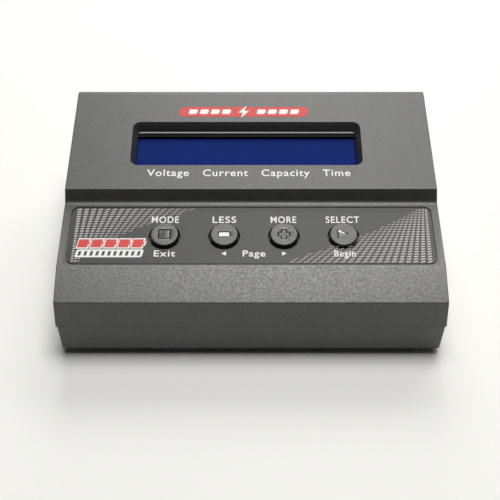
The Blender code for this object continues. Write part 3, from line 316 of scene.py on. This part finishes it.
SMOOTH = smooth_by_angle()
for obj in NODES.values():
    obj.modifiers.new("Smooth by angle", "NODES").node_group = SMOOTH
    weigh_normals(obj)


# --- mesh helpers ------------------------------------------------------------------------------
def mesh_of(name, bm):
    """A finished bmesh as a mesh. The bmesh is freed."""
    mesh = bpy.data.meshes.new(name)
    bm.to_mesh(mesh)
    bm.free()
    return mesh


def linked(name, data):
    """A new object of the scene."""
    obj = bpy.data.objects.new(name, data)
    bpy.context.scene.collection.objects.link(obj)
    return obj


def piece_from(name, bm, look, body, round_shading=False):
    """A finished bmesh becomes a piece that rides on a body."""
    bmesh.ops.recalc_face_normals(bm, faces=bm.faces)
    mesh = mesh_of(name, bm)
    if round_shading:
        mesh.shade_smooth()
        mesh.set_sharp_from_angle(angle=SHARP_EDGE)
    obj = linked(name, mesh)
    dress(obj, look)
    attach(obj, body)
    return obj


def prism(bm, outline, low, high, place):
    """A closed plate between two heights over a frame, added to bm."""
    rings = [[bm.verts.new(place @ Vector((x, y, z))) for x, y in outline] for z in (low, high)]
    bm.faces.new(rings[0])
    bm.faces.new(rings[1])
    for i in range(len(outline)):
        j = (i + 1) % len(outline)
        bm.faces.new((rings[0][i], rings[0][j], rings[1][j], rings[1][i]))


def rectangle(centre, width, height, slant=0.0):
    """Corners of a rectangle whose points move sideways by slant of their height over its middle."""
    x, y = centre
    corners = []
    for sx, sy in ((-1, -1), (1, -1), (1, 1), (-1, 1)):
        corners.append((x + sx * width / 2 + sy * slant * height / 2, y + sy * height / 2))
    return corners


def rounded(centre, width, height, radius, slant=0.0):
    """The same with round corners, each of five steps."""
    points = []
    for corner, (sx, sy) in enumerate(((1, 1), (-1, 1), (-1, -1), (1, -1))):
        heart = (sx * (width / 2 - radius), sy * (height / 2 - radius))
        for x, y in arc(heart, radius, 90 * corner, 90 * corner + 90, 5):
            points.append((centre[0] + x + slant * y, centre[1] + y))
    return points


def arc(centre, radius, start, end, steps):
    """Points of an arc, with its angles in degrees."""
    points = []
    for i in range(steps + 1):
        angle = math.radians(start + (end - start) * i / steps)
        points.append((centre[0] + radius * math.cos(angle), centre[1] + radius * math.sin(angle)))
    return points


def spun(name, outline, segments):
    """Mesh of a turned shape about Z; outline is (radius, height) from the top down."""
    bm = bmesh.new()
    verts = [bm.verts.new((r, 0.0, z)) for r, z in outline]
    edges = [bm.edges.new(pair) for pair in zip(verts, verts[1:])]
    bmesh.ops.spin(bm, geom=verts + edges, cent=(0, 0, 0), axis=(0, 0, 1), angle=2 * math.pi,
                   steps=segments, use_merge=True)
    bmesh.ops.remove_doubles(bm, verts=bm.verts, dist=TOUCHING)
    bmesh.ops.recalc_face_normals(bm, faces=bm.faces)
    return mesh_of(name, bm)


# --- keys --------------------------------------------------------------------------------------
KEY_RADIUS = 3.85 * MM
KEY_ROUND = 0.35 * MM             # rounding of the face's edge
KEY_FLANGE_RADIUS = 5.2 * MM      # flange that keeps the key under the label
KEY_FLANGE = 0.9 * MM
KEY_STEM_RADIUS = 2.0 * MM
KEY_STEM = 1.0 * MM
KEY_SEGMENTS = 64
SOFT_RIM = 0.05 * MM              # bevel of the other sharp edges

ICON_DEPTH = 0.3 * MM             # sunk mark
ICON_REACH = 1.7 * MM             # from its middle to its ends
ICON_ARM = 0.85 * MM              # half width of the minus and of the plus's arms

FLOOR_LEVEL = -0.15 * MM          # middle of a mark's polished floor, below the key's face
FLOOR_MARGIN = 0.3 * MM           # from the mark's walls to its floor
SQUARE_TWIST = -60.0              # rise of the square's floor, per metre across and per metre up
FLOOR_SLOPES = {"decrease": 0.19, "increase": 0.085}
TRIANGLE_BAND = 0.6 * MM          # upper part of the triangle's left side, which leans the other way
TRIANGLE_SLOPES = (0.3, -0.05)
GAP_MARGIN = 0.03 * MM            # from the mark's walls to the near-black plate under its floor, which paints the shade in the gap
GAP_TOP = 0.03 * MM


def key_icon(which, reach, arm):
    """Outline of the sunk mark: a square, a minus, a plus or a triangle that points right."""
    if which == "stop":
        return rectangle((0.0, 0.0), 2 * reach, 2 * reach)
    if which == "decrease":
        return rectangle((0.0, 0.0), 2 * reach, 2 * arm)
    if which == "start":
        return [(-reach, -reach), (reach, 0.0), (-reach, reach)]
    points = []
    for turn in range(4):
        spin = Matrix.Rotation(math.radians(90 * turn), 2)
        points += [tuple(spin @ Vector(p)) for p in ((reach, -arm), (reach, arm), (arm, arm))]
    return points


def mark_floors(which):
    """Parts of a mark's floor: an outline, how steeply it rises uphill, and its twist."""
    outline = key_icon(which, ICON_REACH - FLOOR_MARGIN, ICON_ARM - FLOOR_MARGIN)
    if which == "stop":
        return [(outline, 0.0, SQUARE_TWIST)]
    if which == "start":
        low_left, tip, high_left = outline
        split = (high_left[0], high_left[1] - TRIANGLE_BAND)
        upper, lower = TRIANGLE_SLOPES
        return [([split, tip, high_left], upper, 0.0), ([low_left, tip, split], lower, 0.0)]
    return [(outline, FLOOR_SLOPES[which], 0.0)]


def key_frame(which):
    """Frame at the middle of a key's face."""
    return panel(middle(f"{which}_key"), level(f"{which}_key"))


def cap_outline(bottom):
    """Turned outline of a key, from the middle of its face, at 0, down to its stem."""
    flange = bottom + KEY_STEM
    shoulder = flange + KEY_FLANGE
    outline = [(0.0, 0.0)]
    outline += arc((KEY_RADIUS - KEY_ROUND, -KEY_ROUND), KEY_ROUND, 90, 0, 5)
    outline += [(KEY_RADIUS, shoulder), (KEY_FLANGE_RADIUS, shoulder), (KEY_FLANGE_RADIUS, flange),
                (KEY_STEM_RADIUS, flange), (KEY_STEM_RADIUS, bottom), (0.0, bottom)]
    return outline


def build_cap(which):
    """Finely turned key with a sunk mark, in the place of the CAD's key."""
    bottom = min(heights(f"{which}_key")) - level(f"{which}_key")
    turned = linked(f"{which}_turned", spun(f"{which}_turned", cap_outline(bottom), KEY_SEGMENTS))
    bm = bmesh.new()
    prism(bm, key_icon(which, ICON_REACH, ICON_ARM), -ICON_DEPTH, ICON_DEPTH, Matrix())
    bmesh.ops.recalc_face_normals(bm, faces=bm.faces)
    mark = linked(f"{which}_mark", mesh_of(f"{which}_mark", bm))
    turned.modifiers.new("Sink the mark", "BOOLEAN").object = mark
    rim = turned.modifiers.new("Soft rim", "BEVEL")
    rim.width = SOFT_RIM
    rim.segments = 2
    rim.angle_limit = math.radians(50)
    bpy.context.view_layer.update()
    bm = bmesh.new()
    bm.from_object(turned, bpy.context.evaluated_depsgraph_get())
    bm.transform(key_frame(which))
    for obj in (turned, mark):
        bpy.data.objects.remove(obj, do_unlink=True)
    key = piece_from(f"{which}_key_cap", bm, KEY, f"{which}_button", round_shading=True)
    weigh_normals(key)
    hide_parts(f"{which}_key")


def build_mark(which):
    """Leaning, polished floor of the sunk mark, and a near-black plate under it that paints the shade
    in the gap round the floor.
    """
    place = key_frame(which)
    bottom = 0.01 * MM - ICON_DEPTH
    bm = bmesh.new()
    for outline, slope, twist in mark_floors(which):
        part = bmesh.new()
        prism(part, outline, 0.0, 1.0, Matrix())
        if twist:
            bmesh.ops.subdivide_edges(part, edges=part.edges, cuts=3, use_grid_fill=True)
        heart = sum(y for x, y in outline) / len(outline)
        for vert in part.verts:
            top = FLOOR_LEVEL + slope * (vert.co.y - heart) + twist * vert.co.x * vert.co.y
            vert.co.z = bottom + vert.co.z * (top - bottom)
        mesh = mesh_of("mark_part", part)
        bm.from_mesh(mesh)
        bpy.data.meshes.remove(mesh)
    bm.transform(place)
    piece_from(f"{which}_mark_floor", bm, POLISHED, f"{which}_button", round_shading=True)
    bm = bmesh.new()
    outline = key_icon(which, ICON_REACH - GAP_MARGIN, ICON_ARM - GAP_MARGIN)
    prism(bm, outline, bottom - 0.005 * MM, bottom + GAP_TOP, place)
    piece_from(f"{which}_mark_painted_shade", bm, PAINTED_SHADE_BLACK, f"{which}_button")


for which in KEYS:
    build_cap(which)
    build_mark(which)


# --- prints on the hood and on the label -------------------------------------------------------
INK = (-0.01 * MM, 0.03 * MM)             # lowest and highest level of a print over its panel
SECOND_INK = (0.025 * MM, 0.06 * MM)      # print on a print
HALFTONE_INK = (-0.01 * MM, 0.018 * MM)
BOLD = 0.012                              # how far letters are widened, in parts of their size
LETTER_SPACING = 1.12
SLANT = 0.2                               # lean of the pictograms to the right
UPPER_LINE = 4.35 * MM                    # baselines on the label, from its middle
UPPER_CAPITALS = 2.3 * MM
LOWER_LINE = -7.4 * MM
LOWER_CAPITALS = 2.1 * MM
ARROW_LINE = -6.4 * MM
ARROW_TIP = 0.65 * MM
ARROW_LENGTH = 1.25 * MM
ARROW_HALF = 0.75 * MM


def lettering(bm, text, centre, baseline, width, height, place):
    """Plain lettering fitted to a width and to the height of its capitals, added to bm."""
    curve = bpy.data.curves.new("lettering", "FONT")
    curve.body = text
    curve.align_x = "CENTER"
    curve.offset = BOLD
    curve.space_character = LETTER_SPACING
    curve.extrude = 0.5
    curve.resolution_u = 5
    guide = linked("lettering", curve)
    bpy.context.view_layer.update()
    graph = bpy.context.evaluated_depsgraph_get()
    mesh = bpy.data.meshes.new_from_object(guide.evaluated_get(graph))
    bpy.data.objects.remove(guide, do_unlink=True)
    across = [v.co.x for v in mesh.vertices]
    stretch_x = width / (max(across) - min(across))
    stretch_y = height / max(v.co.y for v in mesh.vertices)
    middle_x = (max(across) + min(across)) / 2
    low, high = INK
    shape = Matrix.Diagonal((stretch_x, stretch_y, high - low, 1.0))
    lift = Matrix.Translation((centre - middle_x * stretch_x, baseline, (high + low) / 2))
    mesh.transform(place @ lift @ shape)
    bm.from_mesh(mesh)
    bpy.data.meshes.remove(mesh)


def finish_print(name, bm, look):
    """A print becomes a piece of the housing."""
    bmesh.ops.remove_doubles(bm, verts=bm.verts, dist=0.0005 * MM)
    piece_from(name, bm, look, "housing")


def build_legends():
    """Generic words over and under the keys, and two arrows."""
    bm = bmesh.new()
    columns = [(LABEL.inverted() @ key_frame(which).translation).x for which in KEYS]
    upper = (("MODE", 7.6 * MM), ("LESS", 6.6 * MM), ("MORE", 7.2 * MM), ("SELECT", 9.4 * MM))
    for (text, width), column in zip(upper, columns):
        lettering(bm, text, column, UPPER_LINE, width, UPPER_CAPITALS, LABEL)
    lower = (("Exit", columns[0] + 0.3 * MM, 5.9 * MM),
             ("Page", (columns[1] + columns[2]) / 2, 6.2 * MM),
             ("Begin", columns[3] + 0.1 * MM, 5.9 * MM))
    for text, column, width in lower:
        lettering(bm, text, column, LOWER_LINE, width, LOWER_CAPITALS, LABEL)
    for column, way in ((columns[1], -1), (columns[2], 1)):
        tip = column + way * ARROW_TIP
        back = tip - way * ARROW_LENGTH
        arrow = [(tip, ARROW_LINE), (back, ARROW_LINE + ARROW_HALF), (back, ARROW_LINE - ARROW_HALF)]
        prism(bm, arrow, *INK, LABEL)
    finish_print("key_legends", bm, WHITE_INK)


def build_hood_line():
    """One line of generic words under the display, for what it reads out."""
    text = "Voltage   Current   Capacity   Time"
    bm = bmesh.new()
    lettering(bm, text, centre=0.6 * MM, baseline=-11.2 * MM, width=58.0 * MM, height=2.5 * MM,
              place=HOOD)
    finish_print("hood_line", bm, WHITE_INK)


def cell(bm, centre, width, height, levels, place):
    """Battery pictogram: a block with its terminal at the right end."""
    prism(bm, rectangle(centre, width, height, SLANT), *levels, place)
    terminal = (centre[0] + width / 2 + 0.07 * width, centre[1])
    prism(bm, rectangle(terminal, 0.1 * width, 0.45 * height, SLANT), *levels, place)


def build_hood_mark():
    """Plain red capsule with white battery pictograms and a bolt between them."""
    heart_x, heart_y = -0.9 * MM, 14.2 * MM
    nearest, pitch = 5.2 * MM, 3.3 * MM
    bm = bmesh.new()
    capsule = rounded((heart_x, heart_y), 38.5 * MM, 4.0 * MM, 1.95 * MM, SLANT)
    prism(bm, capsule, *INK, HOOD)
    finish_print("hood_capsule", bm, RED_INK)
    bm = bmesh.new()
    for side in (-1, 1):
        for step in range(4):
            x = heart_x + side * (nearest + pitch * step)
            cell(bm, (x, heart_y), 2.3 * MM, 1.9 * MM, SECOND_INK, HOOD)
    bolt = [(0.9, 2.6), (-1.6, -0.35), (-0.2, -0.35), (-0.9, -2.6), (1.6, 0.35), (0.2, 0.35)]
    prism(bm, [(heart_x + x * MM, heart_y + y * MM) for x, y in bolt], *SECOND_INK, HOOD)
    finish_print("hood_pictograms", bm, WHITE_INK)


def build_cell_mark():
    """Row of red cells outlined in white over a white strip with short dark bars."""
    columns = [(-46.2 + 3.75 * i) * MM for i in range(5)]
    bars = [(-47.0 + 1.62 * i) * MM for i in range(11)]
    upper = -2.9 * MM
    lower = -6.35 * MM
    bm = bmesh.new()
    for x in columns:
        cell(bm, (x, upper), 3.5 * MM, 3.6 * MM, INK, LABEL)
    prism(bm, rounded((-38.9 * MM, lower), 18.4 * MM, 2.7 * MM, 0.6 * MM, SLANT), *INK, LABEL)
    finish_print("cell_mark_outline", bm, WHITE_INK)
    bm = bmesh.new()
    for x in columns:
        cell(bm, (x - 0.1 * MM, upper), 2.8 * MM, 2.8 * MM, SECOND_INK, LABEL)
    finish_print("cell_mark_cells", bm, RED_INK)
    bm = bmesh.new()
    for x in bars:
        prism(bm, rectangle((x, lower), 0.75 * MM, 1.5 * MM, SLANT), *SECOND_INK, LABEL)
    finish_print("cell_mark_bars", bm, DARK_INK)


def build_halftone(name, corner, way, near, far, power):
    """Dashes in rows that widen away from a corner of the label; way is 1 upwards, -1 downwards."""
    rows = 22
    height = 19.0 * MM
    narrow, wide = 0.85 * MM, 2.0 * MM      # spacing of the dashes in the first and the last row
    bm = bmesh.new()
    for row in range(rows):
        climb = (row + 0.5) / rows
        spacing = narrow + (wide - narrow) * climb
        reach = near + (far - near) * climb ** power
        v = corner[1] + way * height * climb
        for column in range(int(reach / spacing) + 1):
            fade = 1.0 - column * spacing / reach
            u = corner[0] + way * (column + 0.5) * spacing
            half = spacing * (0.6 + 0.2 * (1.0 - fade)) / 2
            tall = (0.14 + 0.3 * fade) * MM / 2
            lift = half * (0.2 + 0.15 * (1.0 - fade))
            dash = [(u - half, v - lift - tall), (u + half, v + lift - tall),
                    (u + half, v + lift + tall), (u - half, v - lift + tall)]
            prism(bm, dash, *HALFTONE_INK, LABEL)
    finish_print(name, bm, SILVER_INK)


build_legends()
build_hood_line()
build_hood_mark()
build_cell_mark()
build_halftone("halftone_left", (-49.3 * MM, -9.4 * MM), way=1,
               near=2.2 * MM, far=33.5 * MM, power=1.55)
build_halftone("halftone_right", (49.6 * MM, 9.4 * MM), way=-1,
               near=2.6 * MM, far=40.5 * MM, power=1.25)


# --- pins of the sockets -----------------------------------------------------------------------
PLATING = 0.02 * MM
BALANCE_PITCH = 2.5 * MM
PORT_PITCH = 2.54 * MM


def square_pin(half):
    """Section of a square pin under its plating."""
    side = 2 * (half + PLATING)
    return rectangle((0.0, 0.0), side, side)


def round_pin(radius, sides=24):
    """Section of a round pin under its plating."""
    return arc((0.0, 0.0), radius + PLATING, 0, 360 * (sides - 1) / sides, sides - 1)


def plate_pins(node, section, face, length, centres):
    """Thin bright plating over a socket's pins, which lie along X and start at face."""
    inwards = 1 if face < 0 else -1
    along_x = Matrix.Rotation(math.radians(90 * inwards), 4, "Y")
    bm = bmesh.new()
    for y, z in centres:
        start = Matrix.Translation((face - inwards * PLATING, y, z))
        prism(bm, section, 0.0, length, start @ along_x)
    piece_from(f"{node}_pins", bm, TIN, "housing")


def build_pins():
    """Balance sockets on the right, input jack and data port on the left."""
    for count in range(3, 8):
        node = f"balance_socket_{count}_pin"
        heart = middle(node)
        row = [(heart.y + BALANCE_PITCH * (i - (count - 1) / 2), heart.z - 0.6 * MM)
               for i in range(count)]
        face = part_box(node)[1].x - 1.4 * MM
        plate_pins(node, square_pin(0.32 * MM), face, length=3.9 * MM, centres=row)
    low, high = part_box("input_jack")
    row = [(middle("input_jack").y, high.z - 3.85 * MM)]
    plate_pins("input_jack", round_pin(1.2 * MM), low.x + 1.0 * MM, length=9.0 * MM, centres=row)
    low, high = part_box("data_port")
    row = [(middle("data_port").y + PORT_PITCH * i, high.z - 1.75 * MM) for i in (-1, 0, 1)]
    plate_pins("data_port", square_pin(0.3 * MM), low.x + 1.0 * MM, length=6.0 * MM, centres=row)


build_pins()


# --- gasket of the display, pale as a painted highlight ----------------------------------------
WINDOW_WIDTH = 66.6 * MM
WINDOW_HEIGHT = 16.06 * MM
WINDOW_CENTRE = (0.0, 0.35 * MM)
GASKET_LIP = 0.18 * MM            # how far the gasket shows inside the window
GASKET_HIDDEN = 0.7 * MM          # how far it goes on under the cover
GASKET_LEVELS = (0.03 * MM, 0.27 * MM)


def build_highlight_gasket():
    """Ring between the window's rim and the display's bezel, light grey as a painted highlight of the
    bright line along the window's inner edge.
    """
    base = level("display_bezel") - level("top_cover")
    low, high = (base + z for z in GASKET_LEVELS)
    outer = rounded(WINDOW_CENTRE, WINDOW_WIDTH + 2 * GASKET_HIDDEN,
                    WINDOW_HEIGHT + 2 * GASKET_HIDDEN, 1.5 * MM)
    inner = rounded(WINDOW_CENTRE, WINDOW_WIDTH - 2 * GASKET_LIP,
                    WINDOW_HEIGHT - 2 * GASKET_LIP, 0.7 * MM)
    bm = bmesh.new()
    rings = []
    for outline, z in ((outer, low), (outer, high), (inner, high), (inner, low)):
        rings.append([bm.verts.new(HOOD @ Vector((x, y, z))) for x, y in outline])
    for a, b in zip(rings, rings[1:] + rings[:1]):
        for i in range(len(a)):
            j = (i + 1) % len(a)
            bm.faces.new((a[i], a[j], b[j], b[i]))
    piece_from("window_gasket_painted_highlight", bm, PAINTED_HIGHLIGHT_GASKET, "housing")


build_highlight_gasket()


# --- fillet at the foot of the step ------------------------------------------------------------
FILLET_RADIUS = 2.0 * MM
FILLET_HALF_LENGTH = 52.1 * MM
STEP_FOOT = Vector((0.0, CAD_BOX[0][1] + 32.24 * MM, 28.68 * MM))
RISER_TILT = math.atan2(3.6, 1.8)     # the riser climbs 3.6 mm over 1.8 mm of depth
EMBEDDED = 0.05 * MM              # how deep the corner of the fillet lies in the case
SETTLED = 0.02 * MM               # how deep its front edge lies in the panel


def build_fillet():
    """Hollow rounding between the keypad's panel and the riser of the step."""
    reach = FILLET_RADIUS * math.tan((RISER_TILT - TILT) / 2)
    start = (-reach * math.cos(TILT), -reach * math.sin(TILT))
    centre = (start[0] - FILLET_RADIUS * math.sin(TILT), start[1] + FILLET_RADIUS * math.cos(TILT))
    outline = [(EMBEDDED, -EMBEDDED), (start[0], start[1] - SETTLED)]
    outline += arc(centre, FILLET_RADIUS, math.degrees(TILT) - 90, math.degrees(RISER_TILT) - 90, 8)
    across = Matrix(((0, 0, 1, 0), (1, 0, 0, 0), (0, 1, 0, 0), (0, 0, 0, 1)))
    place = Matrix.Translation(STEP_FOOT) @ across
    bm = bmesh.new()
    prism(bm, outline, -FILLET_HALF_LENGTH, FILLET_HALF_LENGTH, place)
    piece_from("step_fillet", bm, CASE, "housing", round_shading=True)


build_fillet()


# --- camera, floor and light -------------------------------------------------------------------
CAMERA_PLACE = (-0.0003, -0.23475, 0.2414)
CAMERA_DOWN = math.radians(45.3)
CAMERA_LENS = 79.5                # mm

FLOOR_HALF = 2.5
FLOOR_SHADES = ((0.86, 0.86, 0.855), (0.88, 0.88, 0.875))

LIGHT_SIDE = 0.4
LIGHT_COLOUR = (1.0, 0.993, 0.955)
LIGHT_TARGET = Vector((0.0, 0.0, 0.02))
LIGHTS = (                        # name, place and watts
    ("overhead", (0.06, 0.04, 0.97), 7.4),
    ("back", (0.0, 0.71, 0.66), 2.7),
    ("back_right", (0.41, 0.6, 0.72), 1.6),
    ("low_back", (0.0, 0.95, 0.31), 1.7),
)
SKY_COLOUR = (0.95, 0.97, 1.0, 1.0)
SKY_STRENGTH = 0.03


def look_at_keypad():
    """Camera before the keypad and above it, looking down at the middle of the case."""
    data = bpy.data.cameras.new("camera")
    data.lens = CAMERA_LENS
    data.clip_start = 0.01
    camera = linked("camera", data)
    camera.location = CAMERA_PLACE
    camera.rotation_euler = (math.radians(90) - CAMERA_DOWN, 0.0, 0.0)
    bpy.context.scene.camera = camera


def lay_floor():
    """Wide, pale floor at height 0, where the feet stand."""
    bm = bmesh.new()
    bmesh.ops.create_grid(bm, x_segments=8, y_segments=8, size=FLOOR_HALF)
    obj = linked("floor", mesh_of("floor", bm))
    look = Look("pale_floor", Roughness=0.7)
    look.set("Base Color", look.ramp(look.noise(8.0), *FLOOR_SHADES))
    dress(obj, look.material)


def hang_light(name, place, watts):
    """Square area light that faces the charger."""
    data = bpy.data.lights.new(name, "AREA")
    data.shape = "SQUARE"
    data.size = LIGHT_SIDE
    data.energy = watts
    data.color = LIGHT_COLOUR
    light = linked(name, data)
    light.location = place
    light.rotation_euler = (Vector(place) - LIGHT_TARGET).to_track_quat("Z", "Y").to_euler()


def fill_sky():
    """Faint, even light from all round."""
    world = bpy.data.worlds.new("studio")
    world.use_nodes = True
    bpy.context.scene.world = world
    background = world.node_tree.nodes["Background"]
    background.inputs["Color"].default_value = SKY_COLOUR
    background.inputs["Strength"].default_value = SKY_STRENGTH


look_at_keypad()
lay_floor()
for light in LIGHTS:
    hang_light(*light)
fill_sky()
bpy.context.scene.view_settings.view_transform = "Standard"
